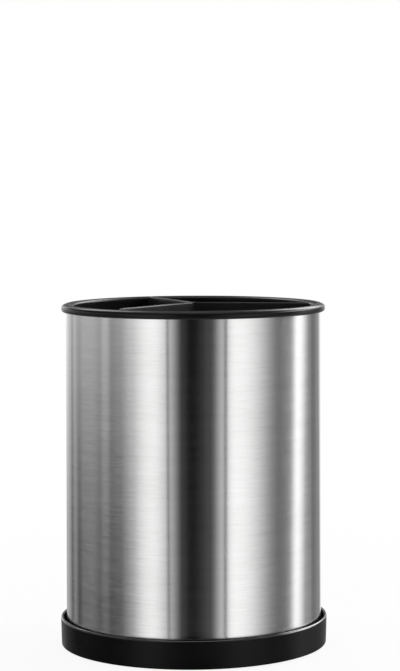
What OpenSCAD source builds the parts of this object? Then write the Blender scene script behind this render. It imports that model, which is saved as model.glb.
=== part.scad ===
/* [Overall] */
// Height from the surface it stands on to the top of the rim
overall_h = 174; // [150:1:200]
// Outside diameter of the steel shell
shell_d = 130; // [115:1:150]

/* [Steel shell] */
// Thickness of the steel sheet
shell_t = 0.5; // [0.4:0.1:0.8]
// Outside radius of the bend at the bottom edge
shell_bend_r = 1; // [0.9:0.1:1.5]
// Width of the bottom edge, turned in under the cap
shell_hem_w = 3.4; // [2.4:0.1:4.5]
// Height of the shell's bottom above the floor of the tray
shell_lift = 1.1; // [0.8:0.1:1.5]

/* [Top rim] */
// How far the rim stands out from the steel
rim_over = 2.3; // [1.5:0.1:3]
// Height of the rim's outer band
rim_h = 4; // [3.2:0.1:6]
// Thickness of the rim above the edges it covers
rim_web_t = 1.8; // [1.4:0.1:2.4]
// Depth of the rim's inner leg, from the rim's top
rim_leg_h = 10; // [6:0.5:14]
// Thickness of the rim's inner leg
rim_leg_t = 1.4; // [1:0.1:2]
// Radius on the rim's top outer edge
rim_top_r = 1.7; // [0.8:0.1:2]
// Radius on the rim's bottom outer edge
rim_low_r = 1.2; // [0.5:0.1:1.4]
// Radius on the rim's top inner edge
rim_inner_r = 0.9; // [0.4:0.1:1.4]

/* [Inner liner] */
// Wall of the liner
liner_t = 1.4; // [1:0.1:2]
// Thickness of the liner's floor
liner_floor_t = 1.8; // [1.2:0.1:3]
// Inside radius between the liner's floor and wall
liner_corner_r = 4; // [2:0.5:6]
// Height of the ribs on the floor that hold the divider
seat_rib_h = 3.5; // [2:0.5:6]
// Thickness of those ribs
seat_rib_t = 1.2; // [0.8:0.1:2]
// Length of those ribs
seat_rib_len = 22; // [14:1:30]
// Distance of those ribs from the centre
seat_rib_in = 12; // [8:1:16]

/* [Divider] */
// Thickness of the divider's wings
divider_t = 1.4; // [1:0.1:2.4]
// Height of the divider's top above the rim
divider_proud = 0.4; // [0:0.1:2]
// Gap between the divider's wings and the rim's inner leg
divider_gap = 0.5; // [0.3:0.1:1.5]
// Radius of the post where the three wings meet
divider_hub_r = 1.1; // [1:0.1:3]
// Radius on the wings' top outer corners
divider_corner_r = 3; // [1:0.5:8]
// Direction of the first wing
divider_angle = 113; // [0:1:119]

/* [Base tray] */
// How far the tray stands out from the steel
base_over = 2.9; // [2.6:0.1:5]
// Height of the tray from its lower edge to the top of its lip
base_h = 14; // [12:0.1:18]
// How much narrower the tray is at its lower edge than at its lip
base_draft = 0.4; // [0:0.1:0.8]
// Thickness of the tray's wall and lip
lip_t = 1.4; // [1:0.1:1.9]
// Radius on the lip's outer edge
lip_outer_r = 0.8; // [0.3:0.1:0.9]
// Radius on the lip's inner edge
lip_inner_r = 0.4; // [0.2:0.1:0.5]
// Radius on the tray's lower outer edge
base_low_r = 0.5; // [0.2:0.1:0.8]
// Thickness of the tray's floor
floor_t = 2; // [1.6:0.1:3]
// Height of the floor's underside above the tray's lower edge
floor_raise = 2.4; // [2:0.1:3.4]
// Radius between the tray's floor and wall
floor_fillet_r = 1; // [0.4:0.1:1.5]
// Thickness of the ribs under the floor and on the cap
rib_t = 1.6; // [1.2:0.1:2.4]
// Gap between the tray's lower edge and its ribs and bosses
rib_up = 0.6; // [0.3:0.1:0.9]

/* [Feet] */
// Diameter of a foot pad
foot_d = 13; // [10:0.5:15]
// Thickness of a foot pad
foot_t = 2; // [1.7:0.1:2.4]
// How far the pads lift the tray off the surface
foot_proud = 1; // [0.6:0.1:1.3]
// Chamfer on the pad's lower edge
foot_chamfer = 0.4; // [0.2:0.1:0.5]
// Distance from the tray's wall to a pad's centre
foot_inset = 10; // [9.5:0.5:14]

/* [Ball bearing] */
// Diameter of a bearing ball
ball_d = 4.76; // [3.96:0.01:5.56]
// Play between a ball and the grooves
ball_play = 0.1; // [0.05:0.01:0.15]
// Thickness of each race ring
race_t = 2; // [1.6:0.1:2.6]
// Width of each race ring
race_w = 14; // [12:0.5:16]
// Gap between the two race rings
race_gap = 3; // [2.6:0.1:3.4]
// Gap between the race rings and the cap's skirt
race_inset = 6.4; // [4:0.1:8]
// Distance of the balls' circle from the rings' inner edge
ball_inset = 4; // [3.5:0.1:4.5]
// Thickness of the ball cage
cage_t = 1.8; // [1.4:0.1:2.2]
// Width of the ball cage
cage_w = 7; // [6.6:0.1:7.6]
// Play between a ball and its pocket in the cage
pocket_play = 0.15; // [0.05:0.05:0.3]

/* [Bottom cap] */
// Thickness of the cap's plate
cap_t = 2; // [1.6:0.1:3]
// Height of the cap's ribs above the plate
cap_rib_h = 3; // [2:0.1:4]
// Thickness of the cap's skirt
skirt_t = 2; // [1.6:0.1:2.6]
// Inside radius of the well for the pivot
well_r = 13; // [11:0.5:16]
// Wall of that well
well_t = 2; // [1.6:0.1:3]
// Thickness of the hub at the bottom of the well
hub_t = 3; // [2.4:0.1:3.4]
// Height of the hub above the tray's floor
hub_lift = 1.6; // [1.2:0.1:2]

/* [Pivot] */
// Diameter of the tray's centre post
post_d = 12; // [10:0.5:14]
// Radial play of the hub on the post
pivot_play = 0.05; // [0.02:0.01:0.1]
// Up and down play of the hub under the washer
pivot_end_play = 0.3; // [0.2:0.1:0.5]
// Diameter of the washer
washer_d = 18; // [16:0.5:20]
// Thickness of the washer
washer_t = 1; // [0.8:0.1:1.5]
// Shank diameter of the pivot screw
pivot_screw_d = 4; // [3:0.1:4.5]
// Shank length of the pivot screw
pivot_screw_len = 8.5; // [6:0.5:8.5]
// Head diameter of the pivot screw
pivot_head_d = 8; // [7:0.1:9]
// Head height of the pivot screw
pivot_head_h = 2.6; // [2.2:0.1:3]

/* [Race screws] */
// Shank diameter of a race screw
race_screw_d = 3; // [2.5:0.1:3.2]
// Length of a race screw with its head
race_screw_len = 5; // [4:0.5:5]
// Head diameter of a race screw
race_head_d = 5.6; // [5:0.1:6]
// Head height of a race screw
race_head_h = 1.4; // [1.1:0.1:1.5]
// Distance of the screws from the rings' outer edge
race_screw_inset = 4; // [3.5:0.1:4.5]
// Radius of the bosses that take the race screws
screw_boss_r = 3.6; // [3:0.1:4.5]

/* [Clearances] */
// Gap between the cap's skirt and the steel
cap_fit = 0.1; // [0.05:0.05:0.2]
// Gap between the liner and the steel
liner_fit = 0.2; // [0.1:0.05:0.3]
// Gap between the rim's legs and what they clip over
rim_fit = 0.05; // [0.02:0.01:0.1]
// Gap between the liner's top edge and the rim
liner_top_gap = 0.2; // [0.1:0.1:0.5]
// Gap on each side of the divider between its ribs
seat_fit = 0.3; // [0.2:0.05:0.6]
// Gap round a foot pad in its recess
foot_fit = 0.15; // [0.05:0.05:0.3]
// Gap round a screw's shank in its hole
screw_fit = 0.05; // [0.02:0.01:0.1]
// How far a screw's head is sunk below the face
head_sink = 0.1; // [0:0.05:0.2]
// Gap between a race ring's bore and its locating ring
race_fit = 0.2; // [0.1:0.05:0.4]

/* [Hidden] */
// Thickness and height of the locating rings inside the race rings
locate_t = 1.6;
locate_h = 1.2;
// Depth and width of the cross in a screw's head
cross_depth_share = 0.55;
cross_long_share = 0.62;
cross_wide_share = 0.16;
// How far a blind hole runs past its screw's tip
tip_room = 0.3;
// Wall round a foot pad's recess, and round the pivot screw below the floor
foot_wall = 1.6;
boss_wall = 4;
// Overrun of every cut, and overlap of joined solids
over = 0.5;
// Counts
balls = 12;
race_screws = 4;
feet = 4;
wings = 3;
ribs = 8;
corner_steps = 6;
round_fn = 96;
small_fn = 32;

// Heights, from the surface it stands on
tray_z0 = foot_proud;
lip_z = tray_z0 + base_h;
rib_z = tray_z0 + rib_up;
floor_z0 = tray_z0 + floor_raise;
floor_z1 = floor_z0 + floor_t;
race_z1 = floor_z1 + race_t;
ball_z = race_z1 + race_gap / 2;
upper_z0 = race_z1 + race_gap;
cap_z0 = upper_z0 + race_t;
cap_z1 = cap_z0 + cap_t;
liner_z0 = cap_z1 + cap_rib_h;
liner_z1 = liner_z0 + liner_floor_t;
shell_z0 = floor_z1 + shell_lift;
skirt_z0 = shell_z0 + shell_t;
hub_z0 = floor_z1 + hub_lift;
hub_z1 = hub_z0 + hub_t;
post_z1 = hub_z1 + pivot_end_play;
washer_z1 = post_z1 + washer_t;
rim_z1 = overall_h;
rim_z0 = rim_z1 - rim_h;
leg_z0 = rim_z1 - rim_leg_h;
shell_z1 = rim_z1 - rim_web_t;
liner_top = shell_z1 - liner_top_gap;
divider_z1 = rim_z1 + divider_proud;

// Radii
shell_r = shell_d / 2;
shell_ri = shell_r - shell_t;
hem_r = shell_r - shell_hem_w;
cap_r = shell_ri - cap_fit;
skirt_ri = cap_r - skirt_t;
liner_r = shell_ri - liner_fit;
liner_ri = liner_r - liner_t;
rim_r = shell_r + rim_over;
groove_ro = shell_r + rim_fit;
leg_ro = liner_ri - rim_fit;
leg_ri = leg_ro - rim_leg_t;
divider_r = leg_ri - divider_gap;
base_r = shell_r + base_over;
tray_ri = base_r - lip_t;
tray_floor_ri = tray_ri - base_draft * (lip_z - floor_z1) / base_h;
foot_circle_r = tray_ri - foot_inset;
race_ro = skirt_ri - race_inset;
race_ri = race_ro - race_w;
ball_r = ball_d / 2;
groove_r = ball_r + ball_play;
ball_circle_r = race_ri + ball_inset;
screw_circle_r = race_ro - race_screw_inset;
locate_ro = race_ri - race_fit;
post_r = post_d / 2;
hub_bore_r = post_r + pivot_play;
well_ro = well_r + well_t;
pivot_screw_r = pivot_screw_d / 2;
race_screw_r = race_screw_d / 2;

// A quarter round of radius r about [x, z] that starts at angle a, or the bare point when r is zero
function corner(x, z, r, a) = r <= 0 ? [[x, z]] :
    [for (i = [0:corner_steps]) let (b = a + 90 * i / corner_steps) [x + r * cos(b), z + r * sin(b)]];

// The outline of a ring's section, with a radius on each of its four corners, drawn in by draft at its foot
function section(ri, ro, z0, z1, low_in = 0, low_out = 0, top_out = 0, top_in = 0, draft = 0) = concat(
    corner(ri - draft + low_in, z0 + low_in, low_in, 180),
    corner(ro - draft - low_out, z0 + low_out, low_out, 270),
    corner(ro - top_out, z1 - top_out, top_out, 0),
    corner(ri + top_in, z1 - top_in, top_in, 90));

// A hollow corner of radius r between a floor at z and a wall at radius ri, sunk by s into both
function hollow(ri, z, r, s) = concat(
    [[ri + s, z - s], [ri + s, z + r], [ri, z + r]],
    [for (i = [1:corner_steps - 1]) let (b = 90 * i / corner_steps) [ri - r + r * cos(b), z + r - r * sin(b)]],
    [[ri - r, z], [ri - r, z - s]]);

module revolved(outline) {
    rotate_extrude($fn = round_fn) polygon(outline);
}

// Places its child on a circle, count times
module round_about(count, circle_r, first = 0) {
    for (i = [0:count - 1])
        rotate([0, 0, first + 360 * i / count])
            translate([circle_r, 0, 0])
                children();
}

// A cross-shaped recess that opens upward at z = 0 in a head of diameter d and height h
module cross_recess(d, h) {
    depth = h * cross_depth_share;
    for (turn = [0, 90])
        rotate([0, 0, turn])
            translate([-d * cross_long_share / 2, -d * cross_wide_share / 2, -depth])
                cube([d * cross_long_share, d * cross_wide_share, depth + over]);
}

// A countersunk screw with its head's face at z = 0 and its tip below
module flat_screw() {
    difference() {
        union() {
            translate([0, 0, -race_head_h])
                cylinder(h = race_head_h, r1 = race_screw_r, r2 = race_head_d / 2, $fn = small_fn);
            translate([0, 0, -race_screw_len])
                cylinder(h = race_screw_len - race_head_h + over, r = race_screw_r, $fn = small_fn);
        }
        cross_recess(race_head_d, race_head_h);
    }
}

// The hole for a countersunk screw, whose mouth is at z = 0
module flat_screw_hole() {
    translate([0, 0, -race_head_h - head_sink])
        cylinder(h = race_head_h, r1 = race_screw_r + screw_fit, r2 = race_head_d / 2 + screw_fit, $fn = small_fn);
    translate([0, 0, -head_sink])
        cylinder(h = head_sink + over, r = race_head_d / 2 + screw_fit, $fn = small_fn);
    translate([0, 0, -race_screw_len - head_sink - tip_room])
        cylinder(h = race_screw_len + tip_room, r = race_screw_r + screw_fit, $fn = small_fn);
}

// Radial ribs from radius r0 to radius r1, between two heights
module radial_ribs(r0, r1, z0, z1) {
    for (i = [0:ribs - 1])
        rotate([0, 0, 180 / ribs + 360 * i / ribs])
            translate([r0, -rib_t / 2, z0])
                cube([r1 - r0, rib_t, z1 - z0]);
}

module base_tray() {
    color([0.09, 0.09, 0.09])
    difference() {
        union() {
            revolved(section(tray_ri, base_r, tray_z0, lip_z, 0, base_low_r, lip_outer_r, lip_inner_r, base_draft));
            translate([0, 0, floor_z0])
                cylinder(h = floor_t, r = tray_ri + lip_t / 2, $fn = round_fn);
            revolved(hollow(tray_floor_ri, floor_z1, floor_fillet_r, lip_t / 4));
            // Centre post above the floor, and its boss below
            translate([0, 0, floor_z0 + floor_t / 2])
                cylinder(h = post_z1 - floor_z0 - floor_t / 2, r = post_r, $fn = round_fn);
            translate([0, 0, rib_z])
                cylinder(h = floor_z0 + floor_t / 2 - rib_z, r = pivot_screw_r + boss_wall, $fn = round_fn);
            // Ring that centres the lower race
            translate([0, 0, floor_z1 - floor_t / 2])
                difference() {
                    cylinder(h = locate_h + floor_t / 2, r = locate_ro, $fn = round_fn);
                    translate([0, 0, -over])
                        cylinder(h = locate_h + floor_t + over, r = locate_ro - locate_t, $fn = round_fn);
                }
            radial_ribs(pivot_screw_r, tray_ri + lip_t / 2, rib_z, floor_z0 + floor_t / 2);
            round_about(feet, foot_circle_r, 180 / feet)
                translate([0, 0, rib_z])
                    cylinder(h = floor_z0 + floor_t / 2 - rib_z, r = foot_d / 2 + foot_wall, $fn = small_fn);
            round_about(race_screws, screw_circle_r)
                translate([0, 0, rib_z])
                    cylinder(h = floor_z0 + floor_t / 2 - rib_z, r = screw_boss_r, $fn = small_fn);
        }
        translate([0, 0, washer_z1 - pivot_screw_len - tip_room])
            cylinder(h = pivot_screw_len + tip_room + over, r = pivot_screw_r + screw_fit, $fn = small_fn);
        round_about(feet, foot_circle_r, 180 / feet)
            translate([0, 0, tray_z0 - over])
                cylinder(h = foot_t - tray_z0 + over, r = foot_d / 2 + foot_fit, $fn = small_fn);
        round_about(race_screws, screw_circle_r)
            translate([0, 0, race_z1])
                flat_screw_hole();
    }
}

module foot_pad(i) {
    color([0.14, 0.14, 0.14])
    rotate([0, 0, 180 / feet + 360 * i / feet])
        translate([foot_circle_r, 0, 0])
            union() {
                cylinder(h = foot_chamfer, r1 = foot_d / 2 - foot_chamfer, r2 = foot_d / 2, $fn = small_fn);
                translate([0, 0, foot_chamfer])
                    cylinder(h = foot_t - foot_chamfer, r = foot_d / 2, $fn = small_fn);
            }
}

// The torus that the balls run in
module ball_track() {
    rotate_extrude($fn = round_fn)
        translate([ball_circle_r, ball_z])
            circle(r = groove_r, $fn = small_fn);
}

module lower_race() {
    color([0.72, 0.72, 0.7])
    difference() {
        revolved(section(race_ri, race_ro, floor_z1, race_z1));
        ball_track();
        round_about(race_screws, screw_circle_r)
            translate([0, 0, race_z1])
                flat_screw_hole();
    }
}

module lower_race_screws() {
    color([0.6, 0.6, 0.6])
    round_about(race_screws, screw_circle_r)
        translate([0, 0, race_z1 - head_sink])
            flat_screw();
}

module pivot_washer() {
    color([0.72, 0.72, 0.7])
    difference() {
        translate([0, 0, post_z1])
            cylinder(h = washer_t, r = washer_d / 2, $fn = round_fn);
        translate([0, 0, post_z1 - over])
            cylinder(h = washer_t + over + over, r = pivot_screw_r + screw_fit, $fn = small_fn);
    }
}

module pivot_screw() {
    color([0.6, 0.6, 0.6])
    difference() {
        union() {
            revolved(concat([[0, washer_z1]], corner(pivot_head_d / 2, washer_z1, 0, 0),
                corner(pivot_head_d / 2 - pivot_head_h / 2, washer_z1 + pivot_head_h / 2, pivot_head_h / 2, 0),
                [[0, washer_z1 + pivot_head_h]]));
            translate([0, 0, washer_z1 - pivot_screw_len])
                cylinder(h = pivot_screw_len + over, r = pivot_screw_r, $fn = small_fn);
        }
        translate([0, 0, washer_z1 + pivot_head_h])
            cross_recess(pivot_head_d, pivot_head_h);
    }
}

module ball_cage() {
    color([0.85, 0.84, 0.8])
    difference() {
        revolved(section(ball_circle_r - cage_w / 2, ball_circle_r + cage_w / 2, ball_z - cage_t / 2, ball_z + cage_t / 2));
        round_about(balls, ball_circle_r)
            translate([0, 0, ball_z - cage_t])
                cylinder(h = cage_t + cage_t, r = ball_r + pocket_play, $fn = small_fn);
    }
}

module ball(i) {
    color([0.8, 0.8, 0.8])
    rotate([0, 0, 360 * i / balls])
        translate([ball_circle_r, 0, ball_z])
            sphere(r = ball_r, $fn = small_fn);
}

module upper_race() {
    color([0.72, 0.72, 0.7])
    difference() {
        revolved(section(race_ri, race_ro, upper_z0, cap_z0));
        ball_track();
        round_about(race_screws, screw_circle_r)
            translate([0, 0, upper_z0])
                mirror([0, 0, 1])
                    flat_screw_hole();
    }
}

module upper_race_screws() {
    color([0.6, 0.6, 0.6])
    round_about(race_screws, screw_circle_r)
        translate([0, 0, upper_z0 + head_sink])
            mirror([0, 0, 1])
                flat_screw();
}

module bottom_cap() {
    color([0.12, 0.12, 0.12])
    difference() {
        union() {
            translate([0, 0, cap_z0])
                cylinder(h = cap_t, r = skirt_ri + skirt_t / 2, $fn = round_fn);
            revolved(section(skirt_ri, cap_r, skirt_z0, liner_z0, 0, shell_bend_r - shell_t, 0, 0));
            translate([0, 0, hub_z0])
                cylinder(h = liner_z0 - hub_z0, r = well_ro, $fn = round_fn);
            // Ring that centres the upper race
            translate([0, 0, cap_z0 - locate_h])
                difference() {
                    cylinder(h = locate_h + cap_t / 2, r = locate_ro, $fn = round_fn);
                    translate([0, 0, -over])
                        cylinder(h = locate_h + cap_t + over, r = locate_ro - locate_t, $fn = round_fn);
                }
            radial_ribs(well_r, skirt_ri + skirt_t / 2, cap_z0 + cap_t / 2, liner_z0);
            round_about(race_screws, screw_circle_r)
                translate([0, 0, cap_z0 + cap_t / 2])
                    cylinder(h = liner_z0 - cap_z0 - cap_t / 2, r = screw_boss_r, $fn = small_fn);
        }
        translate([0, 0, hub_z1])
            cylinder(h = liner_z0 - hub_z1 + over, r = well_r, $fn = round_fn);
        translate([0, 0, hub_z0 - over])
            cylinder(h = hub_t + over + over, r = hub_bore_r, $fn = round_fn);
        round_about(race_screws, screw_circle_r)
            translate([0, 0, upper_z0])
                mirror([0, 0, 1])
                    flat_screw_hole();
    }
}

module steel_shell() {
    color([0.75, 0.75, 0.76])
    revolved(concat(
        [[hem_r, skirt_z0], [hem_r, shell_z0]],
        corner(shell_r - shell_bend_r, shell_z0 + shell_bend_r, shell_bend_r, 270),
        [[shell_r, shell_z1], [shell_ri, shell_z1]],
        [for (p = [corner_steps:-1:0]) corner(shell_r - shell_bend_r, shell_z0 + shell_bend_r, shell_bend_r - shell_t, 270)[p]]));
}

module inner_liner() {
    outer_corner_r = liner_corner_r + liner_t;
    color([0.08, 0.08, 0.08])
    union() {
        revolved(concat(
            [[0, liner_z0]],
            corner(liner_r - outer_corner_r, liner_z0 + outer_corner_r, outer_corner_r, 270),
            [[liner_r, liner_top], [liner_ri, liner_top]],
            [for (p = [corner_steps:-1:0]) corner(liner_ri - liner_corner_r, liner_z1 + liner_corner_r, liner_corner_r, 270)[p]],
            [[0, liner_z1]]));
        // Pairs of ribs that the divider stands between
        for (i = [0:wings - 1], side = [-1, 1])
            rotate([0, 0, divider_angle + 360 * i / wings])
                translate([seat_rib_in, side * (divider_t + seat_rib_t + seat_fit + seat_fit) / 2 - seat_rib_t / 2,
                           liner_z1 - liner_floor_t / 2])
                    cube([seat_rib_len, seat_rib_t, seat_rib_h + liner_floor_t / 2]);
    }
}

module top_rim() {
    color([0.1, 0.1, 0.1])
    difference() {
        union() {
            revolved(section(leg_ri, rim_r, rim_z0, rim_z1, 0, rim_low_r, rim_top_r, rim_inner_r));
            revolved(section(leg_ri, leg_ro, leg_z0, rim_z1 - rim_inner_r, rim_leg_t / 4, rim_leg_t / 4));
        }
        revolved(section(leg_ro, groove_ro, rim_z0 - over, shell_z1));
    }
}

module divider() {
    color([0.16, 0.16, 0.16])
    intersection() {
        translate([0, 0, liner_z1])
            linear_extrude(height = divider_z1 - liner_z1)
                union() {
                    for (i = [0:wings - 1])
                        rotate([0, 0, divider_angle + 360 * i / wings])
                            translate([0, -divider_t / 2])
                                square([divider_r + over, divider_t]);
                    circle(r = divider_hub_r, $fn = small_fn);
                }
        // Round plug whose corners give each wing its radii
        revolved(concat([[0, liner_z1 - over], [divider_r - liner_corner_r, liner_z1 - over]],
            corner(divider_r - liner_corner_r, liner_z1 + liner_corner_r, liner_corner_r, 270),
            corner(divider_r - divider_corner_r, divider_z1 - divider_corner_r, divider_corner_r, 0),
            [[divider_r - divider_corner_r, divider_z1 + over], [0, divider_z1 + over]]));
    }
}

base_tray();
foot_pad(0);  // foot_1
foot_pad(1);  // foot_2
foot_pad(2);  // foot_3
foot_pad(3);  // foot_4
lower_race();
lower_race_screws();
pivot_washer();
pivot_screw();
ball_cage();
ball(0);  // ball_01
ball(1);  // ball_02
ball(2);  // ball_03
ball(3);  // ball_04
ball(4);  // ball_05
ball(5);  // ball_06
ball(6);  // ball_07
ball(7);  // ball_08
ball(8);  // ball_09
ball(9);  // ball_10
ball(10);  // ball_11
ball(11);  // ball_12
upper_race();
upper_race_screws();
bottom_cap();
steel_shell();
inner_liner();
top_rim();
divider();
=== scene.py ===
import math
import bmesh
import bpy
from mathutils import Matrix, Vector


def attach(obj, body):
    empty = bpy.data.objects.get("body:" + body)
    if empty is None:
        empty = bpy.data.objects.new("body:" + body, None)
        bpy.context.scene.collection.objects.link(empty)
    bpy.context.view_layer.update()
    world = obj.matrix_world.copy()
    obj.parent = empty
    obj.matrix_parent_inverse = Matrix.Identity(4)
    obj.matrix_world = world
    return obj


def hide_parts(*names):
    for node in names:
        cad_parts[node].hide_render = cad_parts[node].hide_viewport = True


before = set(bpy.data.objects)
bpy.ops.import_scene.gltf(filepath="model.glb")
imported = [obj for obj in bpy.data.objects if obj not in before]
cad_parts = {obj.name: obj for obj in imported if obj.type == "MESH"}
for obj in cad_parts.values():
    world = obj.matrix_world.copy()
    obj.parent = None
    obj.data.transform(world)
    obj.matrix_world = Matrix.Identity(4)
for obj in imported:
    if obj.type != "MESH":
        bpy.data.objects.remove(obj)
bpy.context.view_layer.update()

# The object's lengths are in millimetres, as in the drawing, and are turned into metres with MM
MM = 0.001

# Steel shell
SHELL_R = 65.0
SHELL_T = 0.5
SHELL_LOW = 6.5
SHELL_TOP = 172.2
HEM_R = 61.6
BEND_R = 1.0
CUT_ROUND = 0.12
# The weld at the back: half its width, and where its soft edge ends
WELD = (0.2, 0.6)
# Top rim
RIM_R = 67.3
RIM_IN = 61.45
RIM_LOW = 170.0
RIM_TOP = 174.0
LEG_LOW = 164.0
LEG_R = 62.85
GROOVE_R = 65.05
# The bead's shoulders lie lower than its top, and its crown is a corner above the top, rounded down to it
SHOULDER_DROP = 1.0
CROWN_RISE = 0.33
CROWN_ROUND = 3.5
# Liner
LINER_R = 64.3
LINER_T = 1.4
LINER_LOW = 17.4
LINER_FLOOR = 19.2
LINER_TOP = 172.0
# Divider
WING_T = 1.4
WING_R = 60.95
WING_TOP = 174.4
WING_ANGLE = 113.0
WING_HUB = 1.1
SEAT_IN = 12.0
SEAT_LEN = 22.0
SEAT_H = 3.5
SEAT_T = 1.2
SEAT_FIT = 0.3
# The height of the thinned top edge, and how much of a full rounding it takes off
WING_EDGE = 0.6
WING_THINNED = 0.8
LOW_CORNER = 4.0
TOP_CORNER = 3.0
WING_TIP = 0.3
WING_ROOT = 1.4
HUB_FILLET = 0.6
# Tray
TRAY_R = 67.9
TRAY_T = 1.4
TRAY_LOW = 1.0
TRAY_TOP = 15.0
TRAY_DRAFT = 0.4
LIP_ROUND = 0.8
# The polish begins here
LIP_LOW = 14.35
FLOOR_LOW = 3.4
FLOOR_TOP = 5.4
RIB_LOW = 1.6
RIB_T = 1.6
POST_R = 6.0
POST_TOP = 10.3
POST_HOLE_R = 2.05
POST_HOLE_LOW = 2.5
LOCATE_R = 41.8
LOCATE_T = 1.6
LOCATE_H = 1.2
# Feet
FOOT_R = 6.5
FOOT_T = 2.0
FOOT_CIRCLE = 56.5
BOSS_CIRCLE = 52.0
BOSS_R = 3.6
SOCKET_PLAY = 0.15
SOCKET_WALL = 1.45
BED_PLAY = 0.3
# How many of each there are, and where the first one stands, in degrees from the right
WINGS = 3
TRAY_RIBS = 8
RIB_TURN = 22.5
PADS = 4
PAD_TURN = 45.0
BOSSES = 4
BOSS_TURN = 0.0
# How far ribs and bosses run into what carries them, and the rounding of the ribs' edges
FLOOR_SINK = 0.3
WALL_SINK = 0.4
POST_SINK = 0.5
BAR_ROUND = 0.25
# Edges sharper than this stay sharp, in degrees
SHARP = 35.0


# Outlines

def rounded_outline(corners, closed=True, arc=7, hold=0.3):
    """Points of a section with corners (radius, height, rounding), held by a point beside each rounding."""
    points = []
    count = len(corners)
    for i, (r, z, rounding) in enumerate(corners):
        here = Vector((r, z))
        ends = not closed and i in (0, count - 1)
        if rounding <= 0 or ends:
            points.append(here)
            continue
        before = (Vector(corners[i - 1][:2]) - here).normalized()
        after = (Vector(corners[(i + 1) % count][:2]) - here).normalized()
        half = before.angle(after) / 2
        reach = rounding / math.tan(half)
        centre = here + (before + after).normalized() * (rounding / math.sin(half))
        start = here + before * reach
        end = here + after * reach
        points.append(start + before * hold)
        first = start - centre
        sweep = first.angle_signed(end - centre)
        for k in range(arc + 1):
            turned = first.copy()
            turned.rotate(Matrix.Rotation(-sweep * k / arc, 2))
            points.append(centre + turned)
        points.append(end + after * hold)
    return points


def shell_outline():
    """A thin wall with its lower edge turned in."""
    inside = SHELL_R - SHELL_T
    return rounded_outline([
        (HEM_R, SHELL_LOW, CUT_ROUND), (SHELL_R, SHELL_LOW, BEND_R), (SHELL_R, SHELL_TOP, CUT_ROUND),
        (inside, SHELL_TOP, CUT_ROUND), (inside, SHELL_LOW + SHELL_T, BEND_R - SHELL_T),
        (HEM_R, SHELL_LOW + SHELL_T, CUT_ROUND)], arc=5, hold=0.08)


def rim_outline():
    """A hook over the steel's edge, with a low crown on top that stays under the rim's full height."""
    middle = (RIM_IN + RIM_R) / 2
    shoulder = RIM_TOP - SHOULDER_DROP
    return rounded_outline([
        (RIM_IN, LEG_LOW, 0.35), (LEG_R, LEG_LOW, 0.35), (LEG_R, SHELL_TOP, 0.1), (GROOVE_R, SHELL_TOP, 0.1),
        (GROOVE_R, RIM_LOW, 0.25), (RIM_R, RIM_LOW, 1.2), (RIM_R, shoulder, 1.5),
        (middle, RIM_TOP + CROWN_RISE, CROWN_ROUND), (RIM_IN, shoulder, 0.9)], hold=0.12)


def liner_outline():
    """A cup's wall and floor."""
    inside = LINER_R - LINER_T
    return rounded_outline([
        (0, LINER_LOW, 0), (LINER_R, LINER_LOW, 5.4), (LINER_R, LINER_TOP, 0.3), (inside, LINER_TOP, 0.3),
        (inside, LINER_FLOOR, 4.0), (0, LINER_FLOOR, 0)], closed=False)


def tray_outline():
    """The tray's wall, floor, locating ring and centre post with its blind screw hole."""
    inside = TRAY_R - TRAY_T
    foot_in = inside - TRAY_DRAFT
    slope = TRAY_DRAFT / (TRAY_TOP - TRAY_LOW)
    locate_top = FLOOR_TOP + LOCATE_H
    locate_in = LOCATE_R - LOCATE_T
    return rounded_outline([
        (0, RIB_LOW, 0), (POST_R, RIB_LOW, 0.4), (POST_R, FLOOR_LOW, 0.4),
        (foot_in + slope * (FLOOR_LOW - TRAY_LOW), FLOOR_LOW, 0.5), (foot_in, TRAY_LOW, 0.3),
        (TRAY_R - TRAY_DRAFT, TRAY_LOW, 0.5), (TRAY_R, TRAY_TOP, LIP_ROUND), (inside, TRAY_TOP, 0.4),
        (foot_in + slope * (FLOOR_TOP - TRAY_LOW), FLOOR_TOP, 1.0), (LOCATE_R, FLOOR_TOP, 0.2),
        (LOCATE_R, locate_top, 0.2), (locate_in, locate_top, 0.2), (locate_in, FLOOR_TOP, 0.2),
        (POST_R, FLOOR_TOP, 0.4), (POST_R, POST_TOP, 0.3), (POST_HOLE_R, POST_TOP, 0.2),
        (POST_HOLE_R, POST_HOLE_LOW, 0), (0, POST_HOLE_LOW, 0)], closed=False, hold=0.1)


def socket_outline(top):
    """The round wall that a pad sits in."""
    inside = FOOT_R + SOCKET_PLAY
    outside = inside + SOCKET_WALL
    return rounded_outline([
        (inside, RIB_LOW, 0.2), (outside, RIB_LOW, 0.3), (outside, top, 0),
        (inside, top, 0)], arc=4, hold=0.1)


def disc_outline(radius, low, top, rounding=0.0):
    return rounded_outline([
        (0, low, 0), (radius, low, rounding), (radius, top, 0), (0, top, 0)], closed=False, arc=4, hold=0.1)


def pad_outline():
    return rounded_outline([
        (0, 0, 0), (FOOT_R, 0, 0.45), (FOOT_R, FOOT_T, 0.1), (0, FOOT_T, 0)], closed=False, hold=0.1)


# Node helpers

def add(tree, kind, inputs=None, **settings):
    """Add a node, set it up, and give its inputs a value or a link."""
    made = tree.nodes.new(kind)
    for name, value in settings.items():
        setattr(made, name, value)
    for key, value in (inputs or {}).items():
        if isinstance(value, bpy.types.NodeSocket):
            tree.links.new(value, made.inputs[key])
        else:
            made.inputs[key].default_value = value
    return made


def calc(tree, operation, *terms):
    return add(tree, "ShaderNodeMath", dict(enumerate(terms)), operation=operation).outputs[0]


def remap(tree, value, low, high, to_low=0.0, to_high=1.0, smooth=False):
    """The value's way from low to high, held at both ends."""
    kind = "SMOOTHSTEP" if smooth else "LINEAR"
    inputs = {"Value": value, "From Min": low, "From Max": high, "To Min": to_low, "To Max": to_high}
    return add(tree, "ShaderNodeMapRange", inputs, interpolation_type=kind, clamp=True).outputs["Result"]


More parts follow.
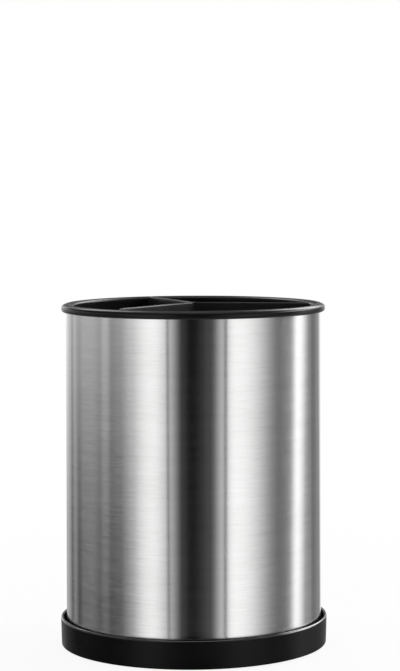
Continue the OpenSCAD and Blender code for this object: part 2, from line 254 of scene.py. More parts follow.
def blend_colour(tree, factor, first, second):
    made = add(tree, "ShaderNodeMix", data_type="RGBA")
    for socket, value in ((0, factor), (6, first), (7, second)):
        if isinstance(value, bpy.types.NodeSocket):
            tree.links.new(value, made.inputs[socket])
        else:
            made.inputs[socket].default_value = value
    return made.outputs[2]


def grey(level, warm=0.0):
    return (level * (1 + warm), level, level * (1 - warm), 1)


# Geometry trees

def tree_sockets(tree, sizes):
    """Give a geometry tree its outline, its named inputs, a finish and a result."""
    interface = tree.interface
    interface.new_socket("Geometry", in_out="INPUT", socket_type="NodeSocketGeometry")
    for name, kind in sizes:
        interface.new_socket(name, in_out="INPUT", socket_type=kind)
    interface.new_socket("Finish", in_out="INPUT", socket_type="NodeSocketMaterial")
    interface.new_socket("Geometry", in_out="OUTPUT", socket_type="NodeSocketGeometry")
    return add(tree, "NodeGroupInput"), add(tree, "NodeGroupOutput")


def end_tree(tree, given, result, geometry):
    """Make the copies real and give the result its finish."""
    realised = add(tree, "GeometryNodeRealizeInstances", {"Geometry": geometry})
    painted = add(tree, "GeometryNodeSetMaterial",
                  {"Geometry": realised.outputs["Geometry"], "Material": given.outputs["Finish"]})
    tree.links.new(painted.outputs["Geometry"], result.inputs["Geometry"])
    return tree


def turning_tree():
    """Turns an outline that lies in the XZ plane round the Z axis, as on a lathe."""
    tree = bpy.data.node_groups.new("turning", "GeometryNodeTree")
    given, result = tree_sockets(tree, [
        ("Steps", "NodeSocketInt"), ("Loop", "NodeSocketInt"),
        ("Seam angle", "NodeSocketFloat"), ("Wrap radius", "NodeSocketFloat")])
    outline = given.outputs["Geometry"]
    points = add(tree, "GeometryNodeAttributeDomainSize", {"Geometry": outline}).outputs["Point Count"]
    rows = calc(tree, "ADD", points, given.outputs["Loop"])
    columns = calc(tree, "ADD", given.outputs["Steps"], 1)
    sheet = add(tree, "GeometryNodeMeshGrid", {"Vertices X": columns, "Vertices Y": rows})
    index = add(tree, "GeometryNodeInputIndex").outputs["Index"]
    column = calc(tree, "FLOOR", calc(tree, "DIVIDE", calc(tree, "ADD", index, 0.5), rows))
    row = calc(tree, "SUBTRACT", index, calc(tree, "MULTIPLY", column, rows))
    share = calc(tree, "DIVIDE", column, given.outputs["Steps"])
    angle = calc(tree, "ADD", calc(tree, "MULTIPLY", share, 2 * math.pi), given.outputs["Seam angle"])
    sample = add(tree, "GeometryNodeSampleIndex", {"Geometry": outline},
                 data_type="FLOAT_VECTOR", domain="POINT")
    tree.links.new(add(tree, "GeometryNodeInputPosition").outputs[0], sample.inputs["Value"])
    tree.links.new(calc(tree, "MODULO", row, points), sample.inputs["Index"])
    place = add(tree, "ShaderNodeSeparateXYZ", {0: sample.outputs["Value"]})
    turned = add(tree, "ShaderNodeCombineXYZ", {
        "X": calc(tree, "MULTIPLY", place.outputs["X"], calc(tree, "COSINE", angle)),
        "Y": calc(tree, "MULTIPLY", place.outputs["X"], calc(tree, "SINE", angle)),
        "Z": place.outputs["Z"]})
    # The map keeps real lengths: across is the way round at the wrap radius, up is the height
    across = calc(tree, "MULTIPLY", share, calc(tree, "MULTIPLY", given.outputs["Wrap radius"], 2 * math.pi))
    flat = add(tree, "ShaderNodeCombineXYZ", {"X": across, "Y": place.outputs["Z"]})
    at_points = add(tree, "GeometryNodeFieldOnDomain", {"Value": flat.outputs[0]},
                    data_type="FLOAT_VECTOR", domain="POINT")
    mapped = add(tree, "GeometryNodeStoreNamedAttribute",
                 {"Geometry": sheet.outputs["Mesh"], "Name": "wrap", "Value": at_points.outputs[0]},
                 data_type="FLOAT2", domain="CORNER")
    placed = add(tree, "GeometryNodeSetPosition",
                 {"Geometry": mapped.outputs["Geometry"], "Position": turned.outputs[0]})
    joined = add(tree, "GeometryNodeMergeByDistance",
                 {"Geometry": placed.outputs["Geometry"], "Distance": 1e-6})
    return end_tree(tree, given, result, joined.outputs["Geometry"])


def ring_tree():
    """Sets copies of a piece round the Z axis at even angles."""
    tree = bpy.data.node_groups.new("ring_of_copies", "GeometryNodeTree")
    given, result = tree_sockets(tree, [
        ("Count", "NodeSocketInt"), ("First angle", "NodeSocketFloat")])
    line = add(tree, "GeometryNodeMeshLine", {"Count": given.outputs["Count"], "Offset": (0, 0, 0)})
    index = add(tree, "GeometryNodeInputIndex").outputs["Index"]
    step = calc(tree, "DIVIDE", 2 * math.pi, given.outputs["Count"])
    angle = calc(tree, "ADD", calc(tree, "MULTIPLY", index, step), given.outputs["First angle"])
    turn = add(tree, "ShaderNodeCombineXYZ", {"Z": angle})
    copies = add(tree, "GeometryNodeInstanceOnPoints", {
        "Points": line.outputs["Mesh"], "Instance": given.outputs["Geometry"], "Rotation": turn.outputs[0]})
    return end_tree(tree, given, result, copies.outputs["Instances"])


# Making pieces

def mesh_object(name, mesh):
    made = bpy.data.objects.new(name, mesh)
    bpy.context.scene.collection.objects.link(made)
    return made


def run_tree(piece, tree, values):
    """Run a geometry tree on a piece, keep its result as a plain mesh and take the modifier off."""
    modifier = piece.modifiers.new("shape", "NODES")
    modifier.node_group = tree
    given = [item for item in tree.interface.items_tree if item.in_out == "INPUT"]
    sockets = {item.name: item.identifier for item in given}
    for name, value in values.items():
        modifier[sockets[name]] = value
    graph = bpy.context.evaluated_depsgraph_get()
    mesh = bpy.data.meshes.new_from_object(piece.evaluated_get(graph))
    old = piece.data
    piece.modifiers.remove(modifier)
    piece.data = mesh
    bpy.data.meshes.remove(old)
    return piece


def smooth(mesh):
    """Outward faces, smooth but for real edges."""
    work = bmesh.new()
    work.from_mesh(mesh)
    bmesh.ops.recalc_face_normals(work, faces=work.faces)
    work.to_mesh(mesh)
    work.free()
    mesh.shade_smooth()
    mesh.set_sharp_from_angle(angle=math.radians(SHARP))


def turned_piece(name, outline, finish, closed=True, steps=256, wrap_radius=1.0):
    """A piece turned from its outline."""
    mesh = bpy.data.meshes.new(name)
    count = len(outline)
    edges = [(i, (i + 1) % count) for i in range(count if closed else count - 1)]
    # The seam angle puts the seam at the back
    mesh.from_pydata([(p.x * MM, 0, p.y * MM) for p in outline], edges, [])
    piece = run_tree(mesh_object(name, mesh), TURNING, {
        "Steps": steps, "Loop": int(closed), "Seam angle": math.pi / 2,
        "Wrap radius": wrap_radius * MM, "Finish": finish})
    smooth(piece.data)
    return piece


def bar_mesh(name, low, high):
    """A bar with rounded edges between two corners."""
    work = bmesh.new()
    bmesh.ops.create_cube(work, size=1)
    size = Vector(high) - Vector(low)
    middle = (Vector(high) + Vector(low)) / 2
    place = Matrix.Translation(middle * MM) @ Matrix.Diagonal((size * MM).to_4d())
    bmesh.ops.transform(work, matrix=place, verts=work.verts)
    bmesh.ops.bevel(work, geom=list(work.edges), offset=BAR_ROUND * MM, segments=3, profile=0.5,
                    affect="EDGES")
    mesh = bpy.data.meshes.new(name)
    work.to_mesh(mesh)
    work.free()
    return mesh


def copies_round(name, mesh, finish, count, first_degrees):
    """Copies of a mesh set round the axis, as one piece."""
    piece = run_tree(mesh_object(name, mesh), RING, {
        "Count": count, "First angle": math.radians(first_degrees), "Finish": finish})
    smooth(piece.data)
    return piece


def join(name, pieces):
    """One piece out of several, each a closed part of the same moulding."""
    work = bmesh.new()
    for piece in pieces:
        work.from_mesh(piece.data)
    mesh = pieces[0].data.copy()
    work.to_mesh(mesh)
    work.free()
    mesh.set_sharp_from_angle(angle=math.radians(SHARP))
    for piece in pieces:
        bpy.data.objects.remove(piece)
    mesh.name = name
    return mesh_object(name, mesh)


def move_out(mesh, radius, turn=0.0):
    """Move a mesh out from the axis, to an angle in degrees."""
    mesh.transform(Matrix.Rotation(math.radians(turn), 4, "Z") @ Matrix.Translation((radius * MM, 0, 0)))
    return mesh


def turned_copies(name, outline, finish, count, circle, first_degrees, closed=False, steps=64):
    """Turned forms on a circle, as one piece."""
    mould = turned_piece(name, outline, finish, closed=closed, steps=steps)
    mesh = move_out(mould.data.copy(), circle)
    bpy.data.objects.remove(mould)
    return copies_round(name, mesh, finish, count, first_degrees)


def finish_above(piece, height, finish):
    """Give the faces above a height another finish."""
    piece.data.materials.append(finish)
    index = len(piece.data.materials) - 1
    for face in piece.data.polygons:
        if face.center.z > height * MM:
            face.material_index = index


# Finishes

def new_finish(name):
    """A material with its shader ready."""
    finish = bpy.data.materials.new(name)
    finish.use_nodes = True
    tree = finish.node_tree
    shader = tree.nodes["Principled BSDF"]
    return finish, tree, shader


def noise(tree, vector, scale, detail=2.0, rough=0.5, stretch=None):
    if stretch:
        vector = add(tree, "ShaderNodeMapping", {"Vector": vector, "Scale": stretch}).outputs[0]
    return add(tree, "ShaderNodeTexNoise",
               {"Vector": vector, "Scale": scale, "Detail": detail, "Roughness": rough}).outputs["Fac"]


def mixture(tree, *parts):
    """The sum of several patterns, each with its share."""
    total = None
    for value, share in parts:
        part = calc(tree, "MULTIPLY", value, share)
        total = part if total is None else calc(tree, "ADD", total, part)
    return total


def set_colour(tree, shader, factor, dark, light):
    tree.links.new(blend_colour(tree, factor, dark, light), shader.inputs["Base Color"])


def set_roughness(tree, shader, factor, smoothest, roughest):
    rough = remap(tree, factor, 0.35, 0.65, smoothest, roughest)
    tree.links.new(rough, shader.inputs["Roughness"])


def relief(tree, shader, height, distance, strength):
    bump = add(tree, "ShaderNodeBump", {"Height": height, "Distance": distance, "Strength": strength})
    tree.links.new(bump.outputs["Normal"], shader.inputs["Normal"])


def brushed_steel():
    """Stainless sheet, brushed round the tube, with a fine weld at the back."""
    finish, tree, shader = new_finish("brushed_steel")
    wrap = add(tree, "ShaderNodeUVMap", uv_map="wrap").outputs["UV"]
    fine = noise(tree, wrap, scale=1.0, detail=3.0, rough=0.6, stretch=(160, 5200, 1))
    middle = noise(tree, wrap, scale=1.0, rough=0.55, stretch=(60, 1500, 1))
    broad = noise(tree, wrap, scale=1.0, stretch=(9, 240, 1))
    cloud = noise(tree, wrap, scale=38.0, detail=3.0, rough=0.55)
    streak = mixture(tree, (fine, 0.45), (middle, 0.35), (broad, 0.2))
    tone = remap(tree, mixture(tree, (streak, 0.8), (cloud, 0.2)), 0.34, 0.66)
    colour = blend_colour(tree, tone, grey(0.56, 0.006), grey(0.68))
    # The laser weld runs up the back, where the sheet's ends meet
    place = add(tree, "ShaderNodeSeparateXYZ", {0: wrap})
    round_length = 2 * math.pi * SHELL_R * MM
    other_way = calc(tree, "SUBTRACT", round_length, place.outputs["X"])
    from_seam = calc(tree, "MINIMUM", place.outputs["X"], other_way)
    weld = remap(tree, from_seam, WELD[0] * MM, WELD[1] * MM, 1.0, 0.0, smooth=True)
    colour = blend_colour(tree, calc(tree, "MULTIPLY", weld, 0.5), colour, grey(0.42, 0.01))
    tree.links.new(colour, shader.inputs["Base Color"])
    tree.links.new(remap(tree, streak, 0.3, 0.7, 0.118, 0.182), shader.inputs["Roughness"])
    shader.inputs["Metallic"].default_value = 1.0
    shader.inputs["Anisotropic"].default_value = 1.0
    shader.inputs["Anisotropic Rotation"].default_value = 0.25
    along = add(tree, "ShaderNodeTangent", direction_type="UV_MAP", uv_map="wrap")
    tree.links.new(along.outputs["Tangent"], shader.inputs["Tangent"])
    height = calc(tree, "SUBTRACT", streak, calc(tree, "MULTIPLY", weld, 0.8))
    relief(tree, shader, height, distance=0.00002, strength=0.5)
    return finish


def moulded_black(name, level, rough, shine=0.35, grain=0.000018):
    """Black injection-moulded plastic with a fine spark grain and a faintly uneven gloss."""
    finish, tree, shader = new_finish(name)
    at = add(tree, "ShaderNodeTexCoord").outputs["Object"]
    cloud = noise(tree, at, scale=46.0, detail=3.0, rough=0.55)
    spark = add(tree, "ShaderNodeTexVoronoi", {"Vector": at, "Scale": 2600.0}, feature="SMOOTH_F1")
    flow = noise(tree, at, scale=1.0, stretch=(60, 60, 520))
    tone = remap(tree, mixture(tree, (cloud, 0.85), (flow, 0.15)), 0.36, 0.64)
    set_colour(tree, shader, tone, grey(level * 0.82), grey(level * 1.2))
    set_roughness(tree, shader, mixture(tree, (cloud, 0.8), (flow, 0.2)), *rough)
    shader.inputs["Specular IOR Level"].default_value = shine
    height = mixture(tree, (spark.outputs["Distance"], 1.0), (cloud, 0.4))
    relief(tree, shader, height, distance=grain, strength=0.6)
    return finish


def foot_rubber():
    """Dull black rubber, worn paler in places."""
    finish, tree, shader = new_finish("foot_rubber")
    at = add(tree, "ShaderNodeTexCoord").outputs["Object"]
    grain = noise(tree, at, scale=900.0, detail=4.0, rough=0.65)
    scuff = noise(tree, at, scale=120.0, detail=3.0, rough=0.6)
    set_colour(tree, shader, remap(tree, scuff, 0.42, 0.66), grey(0.018), grey(0.05, 0.02))
    set_roughness(tree, shader, scuff, 0.62, 0.82)
    relief(tree, shader, grain, distance=0.00005, strength=0.7)
    return finish


def cage_nylon():
    """Off-white nylon that lets a little light in."""
    finish, tree, shader = new_finish("cage_nylon")
    at = add(tree, "ShaderNodeTexCoord").outputs["Object"]
    cloud = noise(tree, at, scale=70.0, detail=3.0)
    set_colour(tree, shader, remap(tree, cloud, 0.35, 0.65), grey(0.66, 0.05), grey(0.78, 0.035))
    set_roughness(tree, shader, cloud, 0.34, 0.46)
    shader.inputs["Subsurface Weight"].default_value = 0.15
    shader.inputs["Subsurface Radius"].default_value = (0.001, 0.001, 0.0008)
    relief(tree, shader, noise(tree, at, scale=2200.0), distance=0.00001, strength=0.5)
    return finish


def pressed_steel():
    """Zinc-plated pressed steel of the bearing's two rings."""
    finish, tree, shader = new_finish("pressed_steel")
    at = add(tree, "ShaderNodeTexCoord").outputs["Object"]
    cells = add(tree, "ShaderNodeTexVoronoi", {"Vector": at, "Scale": 420.0}).outputs["Color"]
    spangle = add(tree, "ShaderNodeSeparateColor", {0: cells}).outputs[0]
    cloud = noise(tree, at, scale=90.0, detail=4.0, rough=0.6)
    tone = remap(tree, mixture(tree, (spangle, 0.3), (cloud, 0.7)), 0.3, 0.7)
    set_colour(tree, shader, tone, grey(0.5, 0.015), grey(0.66, -0.01))
    set_roughness(tree, shader, cloud, 0.26, 0.42)
    shader.inputs["Metallic"].default_value = 1.0
    relief(tree, shader, noise(tree, at, scale=1400.0, detail=3.0), distance=0.00001, strength=0.6)
    return finish


def screw_steel():
    """Plain zinc-plated screws."""
    finish, tree, shader = new_finish("screw_steel")
    at = add(tree, "ShaderNodeTexCoord").outputs["Object"]
    cloud = noise(tree, at, scale=260.0, detail=4.0, rough=0.6)
    set_colour(tree, shader, remap(tree, cloud, 0.35, 0.65), grey(0.46, 0.01), grey(0.6, 0.02))
    set_roughness(tree, shader, cloud, 0.28, 0.4)
    shader.inputs["Metallic"].default_value = 1.0
    relief(tree, shader, noise(tree, at, scale=2600.0, detail=3.0), distance=0.00001, strength=0.6)
    return finish


def ball_steel():
    """Polished bearing steel."""
    finish, tree, shader = new_finish("ball_steel")
    at = add(tree, "ShaderNodeTexCoord").outputs["Object"]
    cloud = noise(tree, at, scale=500.0, detail=3.0)
    set_colour(tree, shader, remap(tree, cloud, 0.35, 0.65), grey(0.66), grey(0.72))
    set_roughness(tree, shader, cloud, 0.06, 0.11)
    shader.inputs["Metallic"].default_value = 1.0
    relief(tree, shader, noise(tree, at, scale=3000.0), distance=0.000002, strength=0.4)
    return finish


# The divider

TIP_STEPS = 5
ROOT_STEPS = 5
WING_POINTS = 2 * TIP_STEPS + 4 + ROOT_STEPS
LOW_STEPS = 8
TOP_STEPS = 12
STRAIGHT_LEVELS = (30, 60, 90, 120, 150, 170)


def wing_plan(thickness, reach):
    """The plan of the three wings as one loop: for each wing its right side, tip, left side and root."""
    half = thickness / 2
    root = WING_HUB + WING_ROOT
    side = [(root, -half), (reach * 0.5, -half)]
    for across, first in ((WING_TIP - half, -90), (half - WING_TIP, 0)):
        for k in range(TIP_STEPS):
            a = math.radians(first + 90 * k / (TIP_STEPS - 1))
            side.append((reach - WING_TIP + WING_TIP * math.cos(a), across + WING_TIP * math.sin(a)))
    side += [(reach * 0.5, half), (root, half)]
    # The hollow between this wing and the next, a third of a turn on
    for k in range(ROOT_STEPS):
        a = math.radians(30 + 60 * k / (ROOT_STEPS - 1))
        spread = WING_HUB + HUB_FILLET * abs(2 * k / (ROOT_STEPS - 1) - 1) ** 1.5
        side.append((spread * math.cos(a), spread * math.sin(a)))
    loop = []
    for wing in range(WINGS):
        turn = Matrix.Rotation(math.radians(WING_ANGLE + 360 / WINGS * wing), 2)
        loop += [turn @ Vector(point) for point in side]
    return loop


def close_wings(work, ring, z, upward):
    """Close one end of the wings with strips along each wing and a fan round the post."""
    faces = []
    centre = work.verts.new((0, 0, z * MM))
    last = WING_POINTS - ROOT_STEPS - 1
    for wing in range(WINGS):
        base = wing * WING_POINTS
        for k in range(last // 2):
            faces.append([ring[base + i] for i in (k, k + 1, last - k - 1, last - k)])
        rim = [0] + list(range(last, WING_POINTS + 1))
        for here, following in zip(rim, rim[1:]):
            faces.append([centre, ring[(base + here) % len(ring)], ring[(base + following) % len(ring)]])
    for face in faces:
        work.faces.new(face if upward else list(reversed(face)))


def quarter_turn(steps):
    return [math.pi / 2 * k / steps for k in range(steps + 1)]


def wing_levels():
    """The heights that the wings are lofted through, each with their thickness and reach there."""
    levels = []
    for a in quarter_turn(LOW_STEPS):
        z = LINER_FLOOR + LOW_CORNER - LOW_CORNER * math.cos(a)
        levels.append((z, WING_T, WING_R - LOW_CORNER + LOW_CORNER * math.sin(a)))
    for z in STRAIGHT_LEVELS:
        levels.append((z, WING_T, WING_R))
    for a in quarter_turn(TOP_STEPS):
        z = WING_TOP - TOP_CORNER + TOP_CORNER * math.sin(a)
        above = max(0.0, z - (WING_TOP - WING_EDGE))
        draw = WING_EDGE - math.sqrt(max(0.0, WING_EDGE * WING_EDGE - above * above))
        levels.append((z, WING_T - 2 * draw * WING_THINNED, WING_R - TOP_CORNER + TOP_CORNER * math.cos(a)))
    return levels


def divider_mesh():
    """Lofts the wings up from the liner's floor, thinned at the top edge and rounded at the corners."""
    levels = wing_levels()
    work = bmesh.new()
    rings = []
    for z, thickness, reach in levels:
        plan = wing_plan(thickness, reach)
        rings.append([work.verts.new((p.x * MM, p.y * MM, z * MM)) for p in plan])
    for low, high in zip(rings, rings[1:]):
        for i in range(len(low)):
            j = (i + 1) % len(low)
            work.faces.new((low[i], low[j], high[j], high[i]))
    close_wings(work, rings[0], levels[0][0], False)
    close_wings(work, rings[-1], levels[-1][0], True)
    mesh = bpy.data.meshes.new("divider_wings")
    work.to_mesh(mesh)
    work.free()
    return mesh


# The studio

# Soft panels round the set: from and to (degrees, 0 on the camera's side, + to the right), the softness of
# each end, brightness, what is left of it below the table, and each end's lean (degrees across for one down)
PANELS = [
    (-172.0, -15.3, 10, 10, 0.02, 1.0, 0.0, 0.0),
    (-172.0, -54.0, 10, 20, 1.16, 0.0, 0.0, 0.0),
    (-160.0, -146.5, 6, 6, 0.02, 18.0, 0.0, 0.0),
    (-147.0, -128.0, 4, 5, 0.008, 16.0, 0.0, 0.0),
    (-121.0, -97.0, 10, 14, 0.115, 1.0, 0.0, 0.0),
    (-90.0, -81.0, 5, 5, 0.40, 0.1, 0.0, 0.0),
    (-66.0, -57.0, 5, 5, 0.09, 1.1, 0.0, 0.0),
    (-55.0, -15.5, 20, 11, 0.61, 0.86, -0.2, 0.0),
    (-53.0, -25.5, 30, 22, 1.04, 0.77, -0.2, 0.25),
    (-137.0, -130.0, 5, 5, 0.13, 1.0, 0.0, 0.0),
    (-16.0, -6.5, 6, 7, 0.045, 1.0, 0.0, 0.0),
    (5.0, 240.0, 12, 1, 0.045, 1.0, 0.0, 0.0),
    (10.0, 17.5, 4, 4, 0.03, 0.9, 0.0, 0.0),
    (21.5, 240.0, 12, 1, 0.18, 1.0, 0.2, 0.0),
    (21.5, 63.5, 12, 42, 0.59, 0.94, 0.2, 0.6),
    (31.5, 63.5, 12, 42, 0.77, 0.94, 0.2, 0.6),
    (94.0, 121.0, 8, 20, 0.06, 1.0, 0.2, 0.8),
    (102.5, 119.6, 9, 16, 1.40, 0.95, 0.45, 0.8),
    (121.0, 132.0, 5, 4, 0.08, 1.7, 0.0, 0.0),
    (144.0, 160.0, 8, 8, 0.20, 0.35, 0.0, 0.0),
    (158.5, 240.0, 14, 1, 0.74, 1.0, -0.6, 0.0),
    (-240.0, -158.0, 1, 12, 0.40, 1.0, 0.0, 0.0),
]
# Narrow gaps between neighbouring panels: where, half width, depth and lean
GAPS = [(-23.0, 1.4, 1.0, -0.1), (28.7, 2.0, 1.0, 0.12), (-77.0, 9.0, 0.14, 0.0), (-131.0, 4.0, 0.15, 0.0),
        (-141.0, 3.5, 0.2, 0.0), (84.5, 9.0, 0.16, 0.0)]
# Soft boxes above the object's shoulders: from and to in degrees and their softness, lowest and highest
# elevation and their softness, and brightness
SOFT_BOXES = [(132.0, 172.0, 16, 18.0, 38.0, 8, 5.0), (88.0, 127.0, 10, 16.5, 33.0, 6, 8.5),
              (-172.0, -146.0, 8, 29.0, 48.0, 8, 2.6)]
# Dark flags, in the same way, with the share of light that each leaves. The first two stand low behind the
# rim, where the tops of the mouldings mirror them instead of the backdrop, the others above the front panels
FLAGS = [(169.0, 200.0, 6, 2.0, 46.0, 6, 0.10), (-200.0, -169.0, 6, 2.0, 46.0, 6, 0.10),
         (-143.0, -75.0, 10, 10.0, 42.0, 8, 0.08), (-75.0, 62.0, 10, 13.0, 45.0, 8, 0.12),
         (-168.0, -143.0, 8, 15.0, 27.0, 8, 0.2)]
# The table's edge as an elevation, and how far above and below it the panels' leans go on, in degrees
TABLE_EDGE = -4.0
LEAN_REACH = (-6.0, 12.0)
# Light from where nothing stands, the panels' fade below the table, and the backdrop's two edges in degrees
AMBIENT = 0.004
PANEL_FADE = (-9.0, 3.0)
BACKDROP_EDGE = (166.0, 179.0)
# Where the ceiling begins and is full, and where the table's glow is full and ends, each with its brightness
CEILING = (32.0, 58.0, 0.32)
TABLE_GLOW = (-40.0, -24.0, 0.7)
# How many of the flags, from the first, hide the backdrop from mirrors
BACKDROP_FLAGS = 2
# How much of the floor's own shade shows near the object, from and to which distance in metres it fades, its
# radius, and its hair's breadth below the feet
FLOOR_SHADE = 0.08
FLOOR_FADE = (0.12, 0.5)
FLOOR_R = 600.0
FLOOR_GAP = 0.02
# The camera: its lens and the frame's width in millimetres, its shift in frames, its place in metres, the way
# that it looks, and its roll in degrees
LENS = 118.8315
FRAME_WIDTH = 36.0
SHIFT = (-0.09054, -0.20864)
CAMERA_PLACE = (0, -1.132749, 0.243822)
CAMERA_WAY = (0.03051584, 0.99944730, -0.01318608)
CAMERA_ROLL = -0.1116
# The light above: its sides and place in metres, its power in watts and its tilt in degrees
LIGHT_SIDES = (1.6, 1.2)
LIGHT_PLACE = (0.0, -0.2, 2.0)
LIGHT_POWER = 7.0
LIGHT_TILT = -5.0


def between(tree, opening, start, soft_start, closing, end, soft_end):
    """Rises softly at the start and falls softly at the end."""
    opens = remap(tree, opening, start - soft_start / 2, start + soft_start / 2, smooth=True)
    closes = remap(tree, closing, end - soft_end / 2, end + soft_end / 2, 1.0, 0.0, smooth=True)
    return calc(tree, "MULTIPLY", opens, closes)


def patch(tree, turn, rise, edges):
    """How much a direction lies in a soft-edged patch of the set."""
    start, end, soft_side, low, high, soft_rise = edges
    across = between(tree, turn, start, soft_side, turn, end, soft_side)
    along = between(tree, rise, low, soft_rise, rise, high, soft_rise)
    return calc(tree, "MULTIPLY", across, along)


def studio():
    """White backdrop behind the object, soft panels and dark flags round it, and a soft light above."""
    world = bpy.data.worlds.new("studio")
    bpy.context.scene.world = world
    world.use_nodes = True
    tree = world.node_tree
    tree.nodes.clear()
    way = add(tree, "ShaderNodeTexCoord").outputs["Generated"]
    part = add(tree, "ShaderNodeSeparateXYZ", {0: way})
    to_front = calc(tree, "MULTIPLY", part.outputs["Y"], -1.0)
    turn = calc(tree, "DEGREES", calc(tree, "ARCTAN2", part.outputs["X"], to_front))
    rise = calc(tree, "DEGREES", calc(tree, "ARCSINE", part.outputs["Z"]))
    below_edge = calc(tree, "SUBTRACT", TABLE_EDGE, rise)
    drop = calc(tree, "MINIMUM", calc(tree, "MAXIMUM", below_edge, LEAN_REACH[0]), LEAN_REACH[1])
    leaning = sorted({0.0} | {lean for panel in PANELS for lean in panel[6:]} | {gap[3] for gap in GAPS})
    leans = {lean: calc(tree, "ADD", turn, calc(tree, "MULTIPLY", drop, lean)) for lean in leaning}
    light = AMBIENT
    for start, end, soft_start, soft_end, level, below, lean_start, lean_end in PANELS:
        width = between(tree, leans[lean_start], start, soft_start, leans[lean_end], end, soft_end)
        fades = remap(tree, rise, *PANEL_FADE, below, 1.0)
        panel = calc(tree, "MULTIPLY", width, calc(tree, "MULTIPLY", fades, level))
        light = calc(tree, "ADD", light, panel)
    for place, half, depth, lean in GAPS:
        away = calc(tree, "ABSOLUTE", calc(tree, "SUBTRACT", leans[lean], place))
        light = calc(tree, "MULTIPLY", light, remap(tree, away, 0.0, half, 1.0 - depth, 1.0, smooth=True))
    behind = remap(tree, calc(tree, "ABSOLUTE", turn), *BACKDROP_EDGE, smooth=True)
    light = add(tree, "ShaderNodeMix", {0: behind, 2: light, 3: 1.0}).outputs[0]
    overhead = remap(tree, rise, *CEILING[:2], smooth=True)
    light = add(tree, "ShaderNodeMix", {0: overhead, 2: light, 3: CEILING[2]}).outputs[0]
    for *edges, level in SOFT_BOXES:
        light = calc(tree, "ADD", light, calc(tree, "MULTIPLY", patch(tree, turn, rise, edges), level))
    passing = []
    for *edges, left in FLAGS:
        shade = calc(tree, "MULTIPLY", patch(tree, turn, rise, edges), 1.0 - left)
        passing.append(calc(tree, "SUBTRACT", 1.0, shade))
        light = calc(tree, "MULTIPLY", light, passing[-1])
    underneath = remap(tree, rise, *TABLE_GLOW[:2], 1.0, 0.0, smooth=True)
    light = add(tree, "ShaderNodeMix", {0: underneath, 2: light, 3: TABLE_GLOW[2]}).outputs[0]
    # The white backdrop shows to the camera, and in metal and glass where it stands behind the object
    path = add(tree, "ShaderNodeLightPath")
    mirrors = calc(tree, "ADD", path.outputs["Is Glossy Ray"], path.outputs["Is Transmission Ray"])
    mirrored = calc(tree, "MULTIPLY", behind, mirrors)
    for share in passing[:BACKDROP_FLAGS]:
        mirrored = calc(tree, "MULTIPLY", mirrored, share)
    seen = calc(tree, "MINIMUM", calc(tree, "ADD", path.outputs["Is Camera Ray"], mirrored), 1.0)
    strength = add(tree, "ShaderNodeMix", {0: seen, 2: light, 3: 1.0}).outputs[0]
    back = add(tree, "ShaderNodeBackground", {"Color": grey(1.0), "Strength": strength})
    out = add(tree, "ShaderNodeOutputWorld")
    tree.links.new(back.outputs[0], out.inputs["Surface"])


def pale_floor():
    """A round pale floor that keeps the object's soft shadow and runs out into the white backdrop."""
    finish, tree, shader = new_finish("pale_floor")
    at = add(tree, "ShaderNodeTexCoord").outputs["Object"]
    away = add(tree, "ShaderNodeVectorMath", {0: at}, operation="LENGTH").outputs["Value"]
    near = remap(tree, away, *FLOOR_FADE, FLOOR_SHADE, 0.0, smooth=True)
    set_colour(tree, shader, noise(tree, at, scale=300.0, detail=3.0), grey(0.84), grey(0.88))
    shader.inputs["Roughness"].default_value = 0.8
    glow = add(tree, "ShaderNodeEmission", {"Color": grey(1.0), "Strength": 1.0})
    path = add(tree, "ShaderNodeLightPath")
    seen = calc(tree, "ADD", path.outputs["Is Camera Ray"],
                calc(tree, "ADD", path.outputs["Is Glossy Ray"], path.outputs["Is Transmission Ray"]))
    white = calc(tree, "MULTIPLY", calc(tree, "MINIMUM", seen, 1.0), calc(tree, "SUBTRACT", 1.0, near))
    mix = add(tree, "ShaderNodeMixShader", {0: white, 1: shader.outputs[0], 2: glow.outputs[0]})
    tree.links.new(mix.outputs[0], tree.nodes["Material Output"].inputs["Surface"])
    work = bmesh.new()
    below = Matrix.Translation((0, 0, -FLOOR_GAP * MM))
    bmesh.ops.create_circle(work, cap_ends=True, radius=FLOOR_R * MM, segments=96, matrix=below)
    mesh = bpy.data.meshes.new("floor")
    work.to_mesh(mesh)
    work.free()
    mesh.materials.append(finish)
    floor = mesh_object("floor", mesh)
    floor.visible_glossy = False


def camera():
    """A nearly level camera with a shifted lens, which keeps the object's upright lines upright."""
    data = bpy.data.cameras.new("camera")
    data.sensor_width = FRAME_WIDTH
    data.sensor_fit = "AUTO"
    data.lens = LENS
    data.shift_x, data.shift_y = SHIFT
    forward = Vector(CAMERA_WAY).normalized()
    right = forward.cross(Vector((0, 0, 1))).normalized()
    up = right.cross(forward)
    roll = math.radians(CAMERA_ROLL)
    across = right * math.cos(roll) + up * math.sin(roll)
    upward = up * math.cos(roll) - right * math.sin(roll)
    made = bpy.data.objects.new("camera", data)
    bpy.context.scene.collection.objects.link(made)
    place = Matrix((across, upward, -forward)).transposed().to_4x4()
    place.translation = Vector(CAMERA_PLACE)
    made.matrix_world = place
    bpy.context.scene.camera = made


def top_light():
    """A broad soft light high above and a little in front."""
    data = bpy.data.lights.new("top_light", "AREA")
    data.shape = "RECTANGLE"
    data.size, data.size_y = LIGHT_SIDES
    data.energy = LIGHT_POWER
    made = bpy.data.objects.new("top_light", data)
    bpy.context.scene.collection.objects.link(made)
    made.location = LIGHT_PLACE
    made.rotation_euler = (math.radians(LIGHT_TILT), 0, 0)


# The pieces

def settle(piece, body, slot, *nodes):
    """Give a piece its body and hide the drawing's nodes that it stands for. The slot is not used."""
    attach(piece, body)
    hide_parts(*nodes)


def steel_shell(steel):
    shell = turned_piece("shell_tube", shell_outline(), steel, steps=384, wrap_radius=SHELL_R)
    settle(shell, "cup", "brushed_shell", "steel_shell")


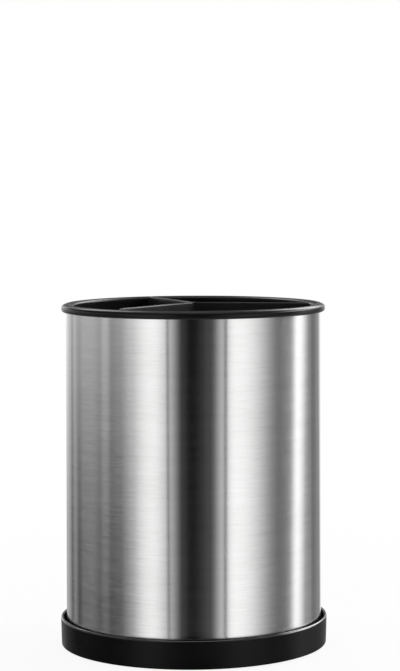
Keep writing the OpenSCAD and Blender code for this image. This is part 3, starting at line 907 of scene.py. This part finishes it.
def top_rim(black):
    rim = turned_piece("rim_ring", rim_outline(), black, steps=320)
    settle(rim, "cup", "rim_plastic", "top_rim")


def inner_liner(black):
    """The liner, with two ribs on its floor for each wing of the divider to stand between."""
    wall = turned_piece("liner_wall", liner_outline(), black, closed=False)
    offset = (WING_T + SEAT_T) / 2 + SEAT_FIT
    seats = []
    for y in (-offset, offset):
        rib = bar_mesh("seat_rib", (SEAT_IN, y - SEAT_T / 2, LINER_FLOOR - WALL_SINK),
                       (SEAT_IN + SEAT_LEN, y + SEAT_T / 2, LINER_FLOOR + SEAT_H))
        seats.append(copies_round("seat_ribs", rib, black, WINGS, WING_ANGLE))
    settle(join("liner_cup", [wall] + seats), "cup", "liner_plastic", "inner_liner")


def divider(black):
    wings = mesh_object("divider_wings", divider_mesh())
    wings.data.materials.append(black)
    smooth(wings.data)
    settle(wings, "divider", "divider_plastic", "divider")


def base_tray(satin, polish):
    """The tray, with its polished lip, and the ribs, pad sockets and screw bosses under its floor."""
    top = FLOOR_LOW + FLOOR_SINK
    wall = turned_piece("tray_wall", tray_outline(), satin, closed=False, steps=320)
    rib = bar_mesh("tray_rib", (POST_R - POST_SINK, -RIB_T / 2, RIB_LOW),
                   (TRAY_R - TRAY_T + WALL_SINK, RIB_T / 2, top))
    ribs = copies_round("tray_ribs", rib, satin, TRAY_RIBS, RIB_TURN)
    sockets = turned_copies("pad_sockets", socket_outline(top), satin, PADS, FOOT_CIRCLE, PAD_TURN,
                            closed=True)
    beds = turned_copies("pad_beds", disc_outline(FOOT_R + BED_PLAY, FOOT_T, top), satin, PADS,
                         FOOT_CIRCLE, PAD_TURN)
    bosses = turned_copies("screw_bosses", disc_outline(BOSS_R, RIB_LOW, top, 0.3), satin, BOSSES,
                           BOSS_CIRCLE, BOSS_TURN, steps=48)
    tray = join("tray_moulding", [wall, ribs, sockets, beds, bosses])
    finish_above(tray, LIP_LOW, polish)
    settle(tray, "base", "tray_plastic", "base_tray")


def feet(rubber):
    for i in range(PADS):
        pad = turned_piece("foot_pad_%d" % (i + 1), pad_outline(), rubber, closed=False, steps=96)
        move_out(pad.data, FOOT_CIRCLE, PAD_TURN + 360 / PADS * i)
        settle(pad, "base", "foot_rubber", "foot_%d" % (i + 1))


def drawn_pieces(finishes):
    """Give the nodes that keep the drawing's own shape their finishes."""
    for finish, nodes in finishes:
        for node in nodes:
            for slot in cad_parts[node].material_slots:
                slot.material = finish


# Assembly

TURNING = turning_tree()
RING = ring_tree()

steel_shell(brushed_steel())
top_rim(moulded_black("rim_black", level=0.008, rough=(0.20, 0.28), shine=0.16))
inner_liner(moulded_black("liner_black", level=0.008, rough=(0.42, 0.55), shine=0.25))
divider(moulded_black("divider_black", level=0.020, rough=(0.30, 0.36), grain=0.000008))
base_tray(moulded_black("tray_black", level=0.0055, rough=(0.26, 0.36), shine=0.1),
          moulded_black("lip_black", level=0.0055, rough=(0.12, 0.16), shine=0.9))
feet(foot_rubber())
drawn_pieces([
    (moulded_black("cap_black", level=0.018, rough=(0.40, 0.52)), ["bottom_cap"]),
    (pressed_steel(), ["lower_race", "upper_race", "pivot_washer"]),
    (screw_steel(), ["lower_race_screws", "upper_race_screws", "pivot_screw"]),
    (cage_nylon(), ["ball_cage"]),
    (ball_steel(), ["ball_%02d" % (i + 1) for i in range(12)])])

camera()
studio()
top_light()
pale_floor()
bpy.context.scene.view_settings.view_transform = "Standard"
